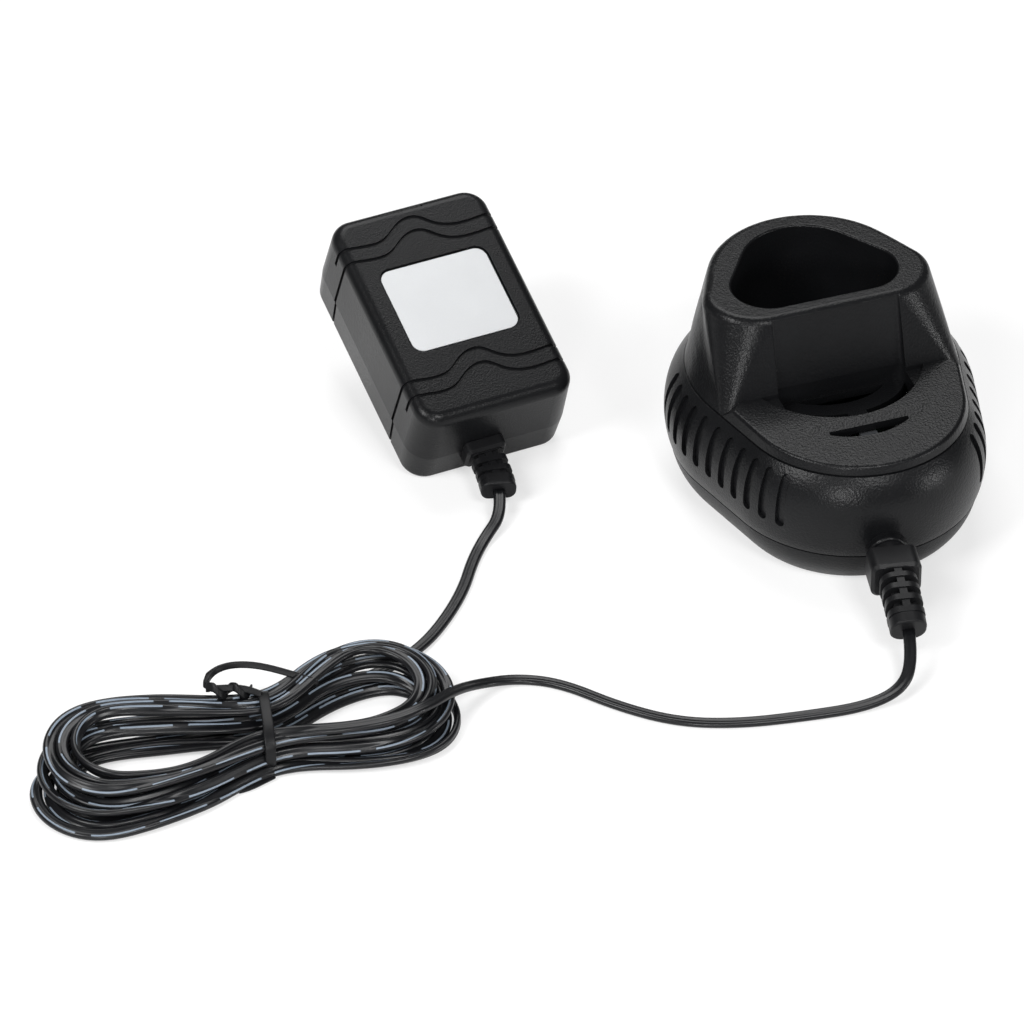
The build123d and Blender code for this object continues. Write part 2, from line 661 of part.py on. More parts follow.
plug_insulator = plug_line * along_y(plug_insulator)


# ================================ mains adapter ================================

foot_lean = math.radians(adapter_foot_draft)
foot_roll_y = (adapter_parting - adapter_foot_radius) * math.tan(foot_lean)
foot_roll_y += adapter_foot_radius / math.cos(foot_lean)
tip_drop = pin_reach - pin_radius + adapter_foot_radius
adapter_tilt = math.atan(tip_drop / (pin_y - foot_roll_y))
foot_roll_z = foot_roll_y * math.sin(adapter_tilt) + adapter_foot_radius * math.cos(adapter_tilt)
adapter_lift = adapter_foot_radius - foot_roll_z
adapter_place = Pos(*adapter_spot, adapter_lift) * Rot(0, 0, adapter_yaw) * Rot(math.degrees(adapter_tilt), 0, 0)
adapter_middle = adapter_length / 2


def case_half(height, draft, edge_radius, inset=0.0, roof=None):
    """A drafted box with rounded corners from z = 0 up, moved inward by inset, its top lowered by roof."""
    drop = inset if roof is None else roof
    plan = RectangleRounded(adapter_width - 2 * inset, adapter_length - 2 * inset, adapter_corner - inset)
    half = extrude(plan, amount=height - drop, taper=draft)
    half = fillet(half.faces().sort_by(Axis.Z)[-1].edges(), max(edge_radius - inset, 0.5))
    return half


upper_height = adapter_height - adapter_parting
upper_outer = case_half(upper_height, adapter_top_draft, adapter_top_radius)
upper_case = upper_outer - case_half(upper_height, adapter_top_draft, adapter_top_radius, adapter_wall)
wave_skin = upper_outer - case_half(upper_height, adapter_top_draft, adapter_top_radius, wave_depth)
for line_y in edge_waves + side_waves:
    wave = Spline(*[(x, line_y - adapter_middle + lift) for x, lift in wave_points])
    groove = extrude(trace(wave, line_width=wave_width), amount=upper_height + 1.0)
    drop = side_wave_drop if line_y in side_waves else wave_drop
    groove &= block(80.0, 90.0, upper_height - drop, upper_height + 2.0)
    upper_case -= groove & wave_skin
plate_middle = plate_y - adapter_middle
recess_size = (plate_size[0] + 2 * plate_margin, plate_size[1] + 2 * plate_margin)
recess = extrude(RectangleRounded(*recess_size, plate_corner + plate_margin), amount=10.0)
upper_case -= Pos(0, plate_middle, upper_height - plate_recess) * recess
rating_plate = extrude(RectangleRounded(*plate_size, plate_corner), amount=plate_thickness)
rating_plate = Pos(0, plate_middle, upper_height - plate_recess) * rating_plate
upper_case -= Pos(notch_x, adapter_middle, upper_height) * Box(notch_width, 6.0, 2 * notch_depth)
lower_outer = case_half(adapter_parting, adapter_foot_draft, adapter_foot_radius)
lower_skin = lower_outer - case_half(adapter_parting, adapter_foot_draft, adapter_foot_radius, wave_depth)
lip_inset = adapter_wall + lip_gap
lower_case = lower_outer - case_half(
    adapter_parting, adapter_foot_draft, adapter_foot_radius, lip_inset + lip_wall, adapter_wall
)
for line_y in side_waves:
    side_groove = block(adapter_width, wave_width, -1.0, adapter_parting, 0, line_y - adapter_middle)
    lower_case -= lower_skin & (side_groove - block(adapter_width - 8.0, 90.0, -1.0, 40.0))
lower_case = mirror(lower_case, about=Plane.XY)


def case_plan(inset):
    """The adapter's outline at the parting line, moved inward."""
    return RectangleRounded(adapter_width - 2 * inset, adapter_length - 2 * inset, adapter_corner - inset)


adapter_lip = case_plan(lip_inset) - case_plan(lip_inset + lip_wall)
lower_case += Pos(0, 0, -1.0) * extrude(adapter_lip, amount=1.0 + 1.8)
to_bench = Pos(0, adapter_middle, adapter_parting)
upper_case = to_bench * upper_case
rating_plate = to_bench * rating_plate
lower_case = to_bench * lower_case

pin_cores = Part()
pin_sleeves = Part()
for side in (-1, 1):
    x = side * pin_spacing / 2
    core_rod = rod(pin_core_radius, -pin_reach + 2.0, adapter_wall, x, pin_y)
    tip = rod(pin_radius, -pin_reach, -sleeve_length, x, pin_y)
    tip = fillet(tip.edges().sort_by(Axis.Z)[0], pin_radius - 0.01)
    head = rod(pin_head_radius, adapter_wall, adapter_wall + pin_head_height, x, pin_y)
    pin_cores += core_rod + tip + head
    sleeve = rod(pin_radius, -sleeve_length, adapter_wall, x, pin_y)
    sleeve += rod(sleeve_shoulder_radius, 0.0, adapter_wall, x, pin_y)
    pin_sleeves += sleeve - rod(pin_core_radius, -sleeve_length - 1.0, adapter_wall + 1.0, x, pin_y)
    lower_case -= rod(sleeve_shoulder_radius, -1.0, adapter_wall + 1.0, x, pin_y)

# ---- Transformer: laminated core, bobbin and two windings ----
core_z = adapter_height / 2
core_low = core_z - core_size[2] / 2
core_high = core_z + core_size[2] / 2
transformer_core = block(core_size[0], core_size[1], core_low, core_high, 0, core_y)
for side in (-1, 1):
    x = side * (limb_width + window_size[0]) / 2
    transformer_core -= block(window_size[0], window_size[1], core_low - 1, core_high + 1, x, core_y)
bobbin_wall = 0.8
winding_width = limb_width + 2 * (window_size[0] - winding_margin)
tube_width = limb_width + 2 * bobbin_wall
tube_height = core_size[2] + 2 * bobbin_wall


def sleeve_round_limb(width, height, y_low, y_high, inner_width, inner_height):
    """A rectangular sleeve round the core's middle limb, lying along Y."""
    middle = (y_low + y_high) / 2
    outside = Pos(0, middle, core_z) * Box(width, y_high - y_low, height)
    outside = fillet(outside.edges().filter_by(Axis.Y), 1.2)
    return outside - Pos(0, middle, core_z) * Box(inner_width, y_high - y_low + 1.0, inner_height)


limb_low = core_y - window_size[1] / 2
limb_high = core_y + window_size[1] / 2
bobbin = sleeve_round_limb(tube_width + 1.0, tube_height + 1.0, limb_low, limb_high, limb_width, core_size[2])
flange_levels = [limb_low, core_y - bobbin_wall / 2, limb_high - bobbin_wall]
for y in flange_levels:
    bobbin += sleeve_round_limb(winding_width, winding_height, y, y + bobbin_wall, limb_width, core_size[2])
primary_winding = sleeve_round_limb(
    winding_width - 0.8, winding_height - 0.8, limb_low + bobbin_wall, core_y - bobbin_wall / 2,
    tube_width + 1.0, tube_height + 1.0,
)
secondary_winding = sleeve_round_limb(
    winding_width - 0.8, winding_height - 0.8, core_y + bobbin_wall / 2, limb_high - bobbin_wall,
    tube_width + 1.0, tube_height + 1.0,
)
frame_z = adapter_height - adapter_wall
transformer_saddles = Part()
for side in (-1, 1):
    saddle_y = core_y + side * (core_size[1] / 2 - 2.4)
    transformer_saddles += block(20.0, 4.0, core_high, frame_z, 0, saddle_y)
    transformer_saddles += block(12.0, 4.0, adapter_wall, core_low, 0, saddle_y)

# ---- Rectifier board ----
board_width, board_length, board_height = adapter_board_size
adapter_board_top = adapter_board_z + board_height
adapter_board = block(board_width, board_length, adapter_board_z, adapter_board_top, 0, adapter_board_y)
board_posts = Part()
for x in (-15.0, 15.0):
    board_posts += rod(2.4, adapter_wall, adapter_board_z, x, adapter_board_y)
smoothing_capacitor = rod(5.0, adapter_board_top, adapter_board_top + 16.0, -11.0, adapter_board_y)
smoothing_capacitor = fillet(smoothing_capacitor.edges().sort_by(Axis.Z)[-1], 0.6)
rectifier_diodes = Part()
diode_z = adapter_board_top + 1.3
for row in range(4):
    x = 0.5 + row * 4.6
    rectifier_diodes += Pos(x, adapter_board_y, diode_z) * Rot(90, 0, 0) * Cylinder(1.3, 5.0)
    for side in (-1, 1):
        rectifier_diodes += rod(0.4, adapter_board_top, diode_z + 0.4, x, adapter_board_y + side * 4.4)
        rectifier_diodes += Pos(x, adapter_board_y + side * 3.4, diode_z) * Rot(90, 0, 0) * Cylinder(0.4, 2.8)

# ---- Strain relief, held in a slot between the case halves ----
gland_size = (2 * gland_half_width, 2 * gland_half_height)
gland, gland_tip = ribbed_relief(
    gland_rings, gland_size, gland_size, gland_core, gland_collar_length, gland_bend, gland_swing
)
gland_plate = extrude(RectangleRounded(gland_block[0], gland_block[1], 1.6), amount=gland_block[2])
gland_plate = chamfer(gland_plate.edges().group_by(Axis.Z)[-1], 0.8)
neck_depth = adapter_wall + 2.2
gland_neck = block(7.0, 5.0, -neck_depth, 0.1)
gland_collar = block(9.6, 6.6, -neck_depth - 1.6, -neck_depth)
gland_line = Pos(gland_x, 0, adapter_parting) * Rot(90, 0, 0)
neck_hole = gland_line * block(7.0, 5.0, -neck_depth, 4.0)
strain_relief = gland_plate + Pos(0, 0, gland_block[2]) * gland + gland_neck + gland_collar
gland_exit = gland_line * Pos(0, 0, gland_block[2]) * gland_tip
strain_relief = gland_line * strain_relief
upper_case -= neck_hole
lower_case -= neck_hole


# ================================ cord and hank ================================


def corner_radii(points):
    """The turn radius at each inner corner: 0.45 of the shorter run over the tangent of half the turn."""
    radii = []
    for before, here, after in zip(points, points[1:], points[2:]):
        incoming = Vector(*here) - Vector(*before)
        outgoing = Vector(*after) - Vector(*here)
        half_turn = math.radians(incoming.get_angle(outgoing)) / 2
        radii.append(0.45 * min(incoming.length, outgoing.length) / math.tan(half_turn))
    return radii


def cord_tube(points, radius):
    """A round tube along straight runs joined by arcs."""
    radii = corner_radii(points)
    print("radii", [round(value, 1) for value in radii])
    path = FilletPolyline(*points, radius=radii)
    start = Plane(path @ 0, z_dir=path % 0)
    return sweep(start * Circle(radius), path=path)


def leave(exit_place, lead):
    """The exit of a strain relief, and the point where the cord stops following the relief's direction."""
    return [tuple(exit_place.position), tuple((exit_place * Pos(0, 0, lead)).position)]


adapter_exit = adapter_place * gland_exit
adapter_points = leave(adapter_exit, adapter_lead) + adapter_route
plug_points = leave(plug_exit, plug_lead) + plug_route
cord_adapter_side = cord_tube(adapter_points, cord_radius)
cord_plug_side = cord_tube(plug_points, cord_radius)

hank_plan = make_face(Spline(*hank_outline, periodic=True))
cord_hank = extrude(hank_plan, amount=hank_height)
cord_hank = fillet(cord_hank.faces().sort_by(Axis.Z)[-1].edges(), hank_edge)
cord_hank = fillet(cord_hank.faces().sort_by(Axis.Z)[0].edges(), hank_edge / 2)
tie_place = Pos(*tie_spot, hank_height / 2) * Rot(0, 0, tie_turn) * Plane.YZ.location


def tie_section(grow, width):
    """A slab across the waist with the tie's rounded outline, grown by a step."""
    outline = RectangleRounded(tie_core[0] + 2 * grow, tie_core[1] + 2 * grow, tie_corner + grow)
    return extrude(outline, amount=width / 2, both=True)


tie_slab = Box(60.0, 40.0, tie_width + 2 * tie_clearance)
cord_hank -= tie_place * (tie_slab - tie_section(0.0, 10.0))
tie_band = tie_section(tie_clearance + tie_thickness, tie_width) - tie_section(tie_clearance, tie_width + 1.0)
cable_tie = tie_place * tie_band
tail_z = hank_height + tie_tail_radius + 0.4
tail = cord_tube([(x, y, tail_z) for x, y in tie_tail], tie_tail_radius)
tie_knot = tie_place * Pos(8.2, tie_core[1] / 2 + 1.9, 0) * Box(5.0, 3.4, tie_width)
cable_tie = cable_tie + tail + tie_knot

adapter_parts = {
    "adapter_upper_case": upper_case,
    "adapter_lower_case": lower_case,
    "rating_plate": rating_plate,
    "adapter_strain_relief": strain_relief,
    "mains_pins": pin_cores,
    "pin_sleeves": pin_sleeves,
    "transformer_core": transformer_core,
    "transformer_bobbin": bobbin,
    "primary_winding": primary_winding,
    "secondary_winding": secondary_winding,
    "transformer_saddles": transformer_saddles,
    "adapter_board": adapter_board,
    "board_posts": board_posts,
    "smoothing_capacitor": smoothing_capacitor,
    "rectifier_diodes": rectifier_diodes,
}
parts = {
    "base_pan": base_pan,
    "mid_shell": mid_shell,
    "top_cover": top_cover,
    "well_liner": well_liner,
    "rubber_feet": rubber_feet,
    "case_screws": case_screws,
    "circuit_board": board,
    "board_screws": board_screws,
    "contact_block": contact_block,
    "contact_left": contact_left,
    "contact_right": contact_right,
    "dc_jack": dc_jack,
    "jack_pin": jack_pin,
    "light_guide": light_guide,
    "charge_lamps": charge_lamps,
    "filter_capacitor": filter_capacitor,
    "choke_coil": choke_coil,
    "choke_base": choke_base,
    "controller_chip": controller_chip,
    "chip_leads": chip_leads,
    "heat_sink": heat_sink,
    "power_transistor": power_transistor,
    "rectifier_diode": rectifier,
    "dc_plug": dc_plug,
    "plug_barrel": plug_barrel,
    "plug_insulator": plug_insulator,
    "cord_adapter_side": cord_adapter_side,
    "cord_plug_side": cord_plug_side,
    "cord_hank": cord_hank,
    "cable_tie": cable_tie,
}
for name, shape in adapter_parts.items():
    parts[name] = adapter_place * shape

os.makedirs("parts", exist_ok=True)
for name, shape in parts.items():
    export_step(shape, f"parts/{name}.step")
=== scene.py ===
# %% [markdown]
# # A power tool battery charger
# The solids of the charger come from its CAD model, in metres and already in place. This lesson gives
# them their finish: moulded black plastic, a bare foil plate, and one real length of twin cord that runs
# from the mains adapter, through a tied hank, to the plug on the cradle.

# %% Load the frame
import json
import math
import random

import bmesh
import bpy
from mathutils import Matrix, Vector

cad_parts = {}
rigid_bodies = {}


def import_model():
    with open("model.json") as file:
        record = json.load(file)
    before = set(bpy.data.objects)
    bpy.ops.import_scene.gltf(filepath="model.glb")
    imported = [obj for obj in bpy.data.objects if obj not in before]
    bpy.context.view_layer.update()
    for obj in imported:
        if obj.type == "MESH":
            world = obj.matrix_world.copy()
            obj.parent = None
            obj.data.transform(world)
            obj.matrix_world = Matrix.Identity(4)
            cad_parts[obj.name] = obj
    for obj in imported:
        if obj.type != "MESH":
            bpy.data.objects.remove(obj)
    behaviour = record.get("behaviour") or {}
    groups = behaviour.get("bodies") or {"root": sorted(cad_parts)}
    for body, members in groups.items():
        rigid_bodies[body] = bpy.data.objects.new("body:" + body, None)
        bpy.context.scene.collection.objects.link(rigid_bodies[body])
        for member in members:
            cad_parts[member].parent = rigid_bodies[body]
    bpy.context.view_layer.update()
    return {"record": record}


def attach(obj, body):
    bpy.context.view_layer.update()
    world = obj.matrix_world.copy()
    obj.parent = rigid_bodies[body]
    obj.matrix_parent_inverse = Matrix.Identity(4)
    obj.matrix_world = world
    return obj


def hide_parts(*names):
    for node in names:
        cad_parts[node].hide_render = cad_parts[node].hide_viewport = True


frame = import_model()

MM = 0.001

# %% [markdown]
# ## Camera
# The charger lies on a table and is seen from a high three-quarter angle through a long lens, which keeps
# its sides nearly parallel. A camera is easiest to place by the point that it looks at, a heading, a
# height above the horizon and a distance. An Empty could aim it, but a matrix made from three directions
# needs no extra object.

# %% Camera
VIEW_TARGET = Vector((-91.4, 17.3, 0.0)) * MM
VIEW_TURN = math.radians(-19.5)
VIEW_RISE = math.radians(37.5)
VIEW_DISTANCE = 2011.8 * MM
VIEW_LENS = 246.1


def view_axes():
    """The camera's right, up and backward directions."""
    right = Vector((math.cos(VIEW_TURN), math.sin(VIEW_TURN), 0))
    level = Vector((-math.sin(VIEW_TURN), math.cos(VIEW_TURN), 0)) * math.cos(VIEW_RISE)
    ahead = level - Vector((0, 0, math.sin(VIEW_RISE)))
    return right, right.cross(ahead), -ahead


right, up, behind = view_axes()
camera = bpy.data.objects.new("camera", bpy.data.cameras.new("camera"))
bpy.context.collection.objects.link(camera)
turned = Matrix((right, up, behind)).transposed().to_4x4()
camera.matrix_world = Matrix.Translation(VIEW_TARGET + behind * VIEW_DISTANCE) @ turned
camera.data.lens = VIEW_LENS
camera.data.sensor_width = 36
camera.data.clip_start = 0.1
camera.data.clip_end = 20
bpy.context.scene.camera = camera
bpy.context.scene.view_settings.view_transform = "Standard"
print("camera distance, m:", round(VIEW_DISTANCE, 3))

# %% [markdown]
# ## The cord's route
# The twin cord leaves the adapter's strain relief, crosses the table to the hank, goes round in ten long
# turns that a tie squeezes at the waist, and runs out over the top of the hank to the plug. It is one
# cord, so it is one NURBS curve: its control points pull the line into loose bends, as a springy cable
# does. The points on the table are listed. The turns of the hank are worked out in a loop,
# because each differs from the last by a fixed step.

# %% Route points on the table
CORD_WIDTH = 3.6
ADAPTER_ROUTE = [
    (-94.17, 20.71, 5.89), (-96.2, 12.4, 4.2), (-103.6, 6.6, 1.2), (-110.1, -1.9, 1.1),
    (-117.0, -13.7, 1.1), (-126.3, -24.9, 1.1), (-136.0, -33.8, 1.1), (-149.0, -41.2, 1.6),
]
PLUG_ROUTE = [
    (-146.9, -72.4, 12.6), (-136.8, -63.6, 8.2), (-127.1, -57.6, 3.4), (-115.6, -56.4, 1.1),
    (-104.9, -62.6, 1.1), (-93.4, -77.6, 1.1), (-80.2, -89.4, 1.1), (-64.3, -95.6, 1.1), (-46.0, -98.6, 1.1),
    (-29.0, -100.4, 1.2), (-17.5, -98.6, 3.0), (-12.2, -92.6, 7.2), (-10.13, -84.38, 11.08),
]

# %% [markdown]
# ## The hank's turns
# Each turn is a long loop: a strand along the back, a bend at the left end, a strand along the front and
# a bend at the right end. The turns wind inward in the bottom layer, outward in the next and inward again
# on top, as a hand winds them, and the tie presses them to half their width at the waist. The back of the
# bundle stands a little higher than its front, so the strands there lie like shingles.

# %% Turns of the hank
TURN_LAYERS = [
    (0, 3), (0, 2), (0, 1), (0, 0), (1, 0.3), (1, 1.5), (1, 2.7), (2, 2.4), (2, 1.3), (2, 0.2),
]
LAYER_RISE = 3.8
LAYER_BACK = 2.9
STRAND_LOW = 1.95
BACK_RISE = 1.3
WAIST = Vector((-191.0, -62.2))
WAIST_INNER = 1.9
WAIST_STEP = 2.6
LEFT_BEND = Vector((-238.7, -66.0))
RIGHT_BEND = Vector((-154.0, -62.6))
BEND_INNER = 13.3
BEND_STEP = 1.85
BEND_POINTS = 6
BEND_BULGE = 1.04
OUTER_RANK = 3
LEFT_NEST = Vector((1.7, 0.4))
RIGHT_NEST = Vector((-1.3, 0.3))
LAYER_NEST = 1.1
STRAND_SHAKE = 0.3
BEND_SHAKE = 0.15
# Where a strand has its points along X, and how far it has opened there from the waist towards the bend.
STRAND_STATIONS = [(-170.0, 0.76), (-185.5, 0.06), (-196.5, 0.06), (-216.0, 0.74)]
# The strand that leaves, with its height above the top layer.
LAST_STRAND = [
    (-216.0, -73.0, 0.0), (-197.0, -66.6, 0.4), (-184.0, -69.6, 1.4), (-171.0, -74.4, 2.9),
    (-158.0, -75.8, 3.4),
]
shake = random.Random(11)


def bend_centre(end, nest, layer, rank):
    """The centre of a bend: the inner and the upper turns end a little short of the outer ones."""
    return end + nest * (OUTER_RANK - rank + LAYER_NEST * layer) + Vector((0, LAYER_BACK * layer))


def loosen(point, amount):
    """The point moved a little in plan, so that no two turns are alike."""
    return point + Vector((shake.uniform(-amount, amount), shake.uniform(-amount, amount)))


def strand(layer, rank, side, leftward):
    """Four points along the back (side 1) or front (side -1) of a turn."""
    offset = side * (WAIST_INNER + WAIST_STEP * rank)
    spread = side * (BEND_INNER + BEND_STEP * rank)
    height = STRAND_LOW + LAYER_RISE * layer + (BACK_RISE * layer if side > 0 else 0)
    points = []
    for x, share in STRAND_STATIONS:
        middle = WAIST.y + (LEFT_BEND.y - WAIST.y) * share if x < WAIST.x else WAIST.y
        opened = (spread + LAYER_BACK * layer - offset) * share
        plan = loosen(Vector((x, middle + offset + opened)), STRAND_SHAKE)
        points.append((plan.x, plan.y, height))
    return points if leftward else points[::-1]


def bend(centre, layers, ranks, start_side, towards):
    """Points round an end of the hank, from one turn's rank to the next one's."""
    points = []
    for step in range(BEND_POINTS):
        share = step / (BEND_POINTS - 1)
        angle = math.pi * share
        rank = ranks[0] + (ranks[1] - ranks[0]) * share
        layer = layers[0] + (layers[1] - layers[0]) * share
        back = 1 - share if start_side > 0 else share
        bulge = 1.0 if step in (0, BEND_POINTS - 1) else BEND_BULGE
        radius = (BEND_INNER + BEND_STEP * rank) * bulge
        plan = centre + radius * Vector((towards * math.sin(angle), start_side * math.cos(angle)))
        plan = loosen(plan, BEND_SHAKE)
        height = STRAND_LOW + LAYER_RISE * layer + BACK_RISE * layer * back
        points.append((plan.x, plan.y, height))
    return points


def hank_points():
    """Every turn in order, ending with the strand that leaves over the right-hand bends."""
    points = []
    for turn, (layer, rank) in enumerate(TURN_LAYERS):
        points += strand(layer, rank, 1, True)
        points += bend(bend_centre(LEFT_BEND, LEFT_NEST, layer, rank), (layer, layer), (rank, rank), 1, -1)
        if turn + 1 == len(TURN_LAYERS):
            break
        points += strand(layer, rank, -1, False)
        after_layer, after_rank = TURN_LAYERS[turn + 1]
        centre = bend_centre(RIGHT_BEND, RIGHT_NEST, layer, (rank + after_rank) / 2)
        points += bend(centre, (layer, after_layer), (rank, after_rank), -1, 1)
    top = STRAND_LOW + LAYER_RISE * layer
    points += [(x, y, top + rise) for x, y, rise in LAST_STRAND]
    return points


route = ADAPTER_ROUTE + hank_points() + PLUG_ROUTE
print("route points:", len(route))

# %% Spline through the route
curve = bpy.data.curves.new("cord_line", "CURVE")
curve.dimensions = "3D"
spline = curve.splines.new("NURBS")
spline.points.add(len(route) - 1)
for point, place in zip(spline.points, route):
    point.co = (*(Vector(place) * MM), 1)
spline.order_u = 3
spline.use_endpoint_u = True
spline.resolution_u = 8
line_object = bpy.data.objects.new("cord_line", curve)
bpy.context.collection.objects.link(line_object)
bpy.context.view_layer.update()
line_mesh = bpy.data.meshes.new_from_object(line_object)
cord_path = [v.co.copy() for v in line_mesh.vertices]
cord_length = sum((b - a).length for a, b in zip(cord_path, cord_path[1:]))
bpy.data.objects.remove(line_object)
print("cord length, m:", round(cord_length, 3), "rings:", len(cord_path))

# %% [markdown]
# ## The twin cord
# Two insulated wires side by side make a section like a figure eight, with a shallow valley between the
# wires. A round bevel can't give that, so rings of points in that section are set along the path and
# joined. The ring turns slowly about the path, because such a cord twists as it is wound. The UV map
# holds the distance along the cord and the place round the section, which the printed dashes need.

# %% Figure-eight tube
WIRE_RADIUS = 0.95
WIRE_SPREAD = CORD_WIDTH / 2 - WIRE_RADIUS
SECTION_STEPS = 16
CORD_LOWEST = 0.05
WIRE_WRAP = 0.82
# Distances along the cord, in metres, where the hank begins and ends, and the length of each change.
HANK_FROM = 0.10
HANK_TO_END = 0.2
TWIST_CHANGE = 0.05
TABLE_TWIST = 0.12
HANK_TWIST = 0.75


def cord_section():
    """Points round the two wires, in mm, with a shallow valley between them."""
    points = []
    for step in range(SECTION_STEPS):
        angle = 2 * math.pi * (step + 0.5) / SECTION_STEPS
        side = 1 if math.cos(angle) > 0 else -1
        local = 2 * math.asin(max(-1, min(1, math.sin(angle)))) * WIRE_WRAP
        across = side * (WIRE_SPREAD + WIRE_RADIUS * math.cos(local))
        points.append((across, WIRE_RADIUS * math.sin(local)))
    return points


def twist_at(distance):
    """How far the section has turned: printed side down on the table, wandering in the hank."""
    entered = max(0, (distance - HANK_FROM) / TWIST_CHANGE)
    to_leave = max(0, (cord_length - HANK_TO_END - distance) / TWIST_CHANGE)
    inside = min(1, entered, to_leave)
    wander = math.sin(distance * 23.0) + 0.7 * math.sin(distance * 57.0 + 1.3)
    wander += 0.4 * math.sin(distance * 131.0)
    return TABLE_TWIST * math.sin(distance * 40.0) + inside * HANK_TWIST * wander + (1 - inside) * math.pi


def cord_tube(path):
    """A mesh of section rings along the path, kept above the table, with its UV map."""
    mesh = bpy.data.meshes.new("twin_cord")
    work = bmesh.new()
    section = cord_section()
    rings = []
    travelled = []
    distance = 0.0
    for index, place in enumerate(path):
        if index:
            distance += (place - path[index - 1]).length
        ahead = (path[min(index + 1, len(path) - 1)] - path[max(index - 1, 0)]).normalized()
        side = ahead.cross(Vector((0, 0, 1))).normalized()
        raised = side.cross(ahead)
        turn = twist_at(distance)
        across = side * math.cos(turn) + raised * math.sin(turn)
        over = raised * math.cos(turn) - side * math.sin(turn)
        ring = [place + (across * x + over * y) * MM for x, y in section]
        lift = Vector((0, 0, max(0.0, CORD_LOWEST * MM - min(point.z for point in ring))))
        rings.append([work.verts.new(point + lift) for point in ring])
        travelled.append(distance)
    uv = work.loops.layers.uv.new("cord_uv")
    for row in range(len(rings) - 1):
        for step in range(SECTION_STEPS):
            after = (step + 1) % SECTION_STEPS
            corner_verts = (rings[row][step], rings[row][after], rings[row + 1][after], rings[row + 1][step])
            face = work.faces.new(corner_verts)
            face.smooth = True
            corners = [(row, step), (row, step + 1), (row + 1, step + 1), (row + 1, step)]
            for loop, (ring, place) in zip(face.loops, corners):
                loop[uv].uv = (travelled[ring], (place + 0.5) / SECTION_STEPS)
    work.faces.new(rings[0][::-1])
    work.faces.new(rings[-1])
    bmesh.ops.recalc_face_normals(work, faces=work.faces)
    work.to_mesh(mesh)
    work.free()
    return mesh


twin_cord = bpy.data.objects.new("twin_cord", cord_tube(cord_path))
bpy.context.collection.objects.link(twin_cord)
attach(twin_cord, "cord_set")
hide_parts("cord_adapter_side", "cord_plug_side", "cord_hank")
print("cord faces:", len(twin_cord.data.polygons))

# %% [markdown]
# ## The tie
# A plastic-coated wire tie is a flat ribbon. It goes once round the waist, is twisted on itself a few
# times at the back, and its two ends stick out: one as a bare loop, the other as a short flat tab under
# the hank. One edge of a plane, extruded from point to point, makes such a ribbon as a hand would bend
# it. Solidify then gives it its thickness and Subdivision Surface rounds its corners.

# %% Ribbon helper
def select_nothing():
    """Deselects every object."""
    bpy.ops.object.select_all(action="DESELECT")


def ribbon(name, route, width, thickness):
    """A flat strip extruded along a route of points in mm; width is a vector across the strip."""
    select_nothing()
    bpy.ops.mesh.primitive_plane_add(size=1, location=(0, 0, 0))
    strip = bpy.context.object
    strip.name = name
    strip.data.name = name
    across = Vector(width) * MM / 2
    start = Vector(route[0]) * MM
    after = Vector(route[1]) * MM
    corners = [start - across, start + across, after - across, after + across]
    for vertex, corner in zip(strip.data.vertices, corners):
        vertex.co = corner
    bpy.ops.object.mode_set(mode="EDIT")
    bpy.ops.mesh.select_mode(type="EDGE")
    bpy.ops.mesh.select_all(action="DESELECT")
    bpy.ops.object.mode_set(mode="OBJECT")
    for edge in strip.data.edges:
        edge.select = set(edge.vertices) == {2, 3}
    bpy.ops.object.mode_set(mode="EDIT")
    for here, there in zip(route[1:], route[2:]):
        step = (Vector(there) - Vector(here)) * MM
        bpy.ops.mesh.extrude_region_move(TRANSFORM_OT_translate={"value": step})
    bpy.ops.mesh.select_all(action="SELECT")
    bpy.ops.mesh.remove_doubles(threshold=0.00002)
    bpy.ops.mesh.normals_make_consistent(inside=False)
    bpy.ops.object.mode_set(mode="OBJECT")
    bpy.ops.object.modifier_add(type="SOLIDIFY")
    strip.modifiers[-1].thickness = thickness * MM
    strip.modifiers[-1].offset = 0
    bpy.ops.object.modifier_add(type="BEVEL")
    strip.modifiers[-1].width = 0.18 * MM
    strip.modifiers[-1].segments = 1
    bpy.ops.object.modifier_add(type="SUBSURF")
    strip.modifiers[-1].levels = 2
    strip.modifiers[-1].render_levels = 2
    for modifier in [m.name for m in strip.modifiers]:
        bpy.ops.object.modifier_apply(modifier=modifier)
    bpy.ops.object.shade_smooth()
    print(name, "faces:", len(strip.data.polygons))
    return strip


# %% Tie pieces
TIE_TURN = math.radians(-12)
TIE_WIDTH = 3.0
TIE_THICKNESS = 0.8
tie_along = Vector((math.cos(TIE_TURN), math.sin(TIE_TURN), 0))
tie_across = Vector((-math.sin(TIE_TURN), math.cos(TIE_TURN), 0))
TIE_HALF = (11.6, 6.95)
TIE_SQUARENESS = 0.72
TIE_START = 0.9
TIE_LEAN = 0.016
TIE_CENTRE = Vector((WAIST.x, WAIST.y, 7.5))


def round_waist(steps):
    """Points round the bundle's waist: an oval squared a little, so that it lies flat on the strands."""
    points = []
    for step in range(steps + 1):
        angle = 2 * math.pi * step / steps + TIE_START
        wide = math.copysign(abs(math.cos(angle)) ** TIE_SQUARENESS, math.cos(angle)) * TIE_HALF[0]
        high = math.copysign(abs(math.sin(angle)) ** TIE_SQUARENESS, math.sin(angle)) * TIE_HALF[1]
        leaning = max(0, high) * wide * TIE_LEAN
        points.append(TIE_CENTRE + tie_across * wide + Vector((0, 0, high + leaning)))
    return points


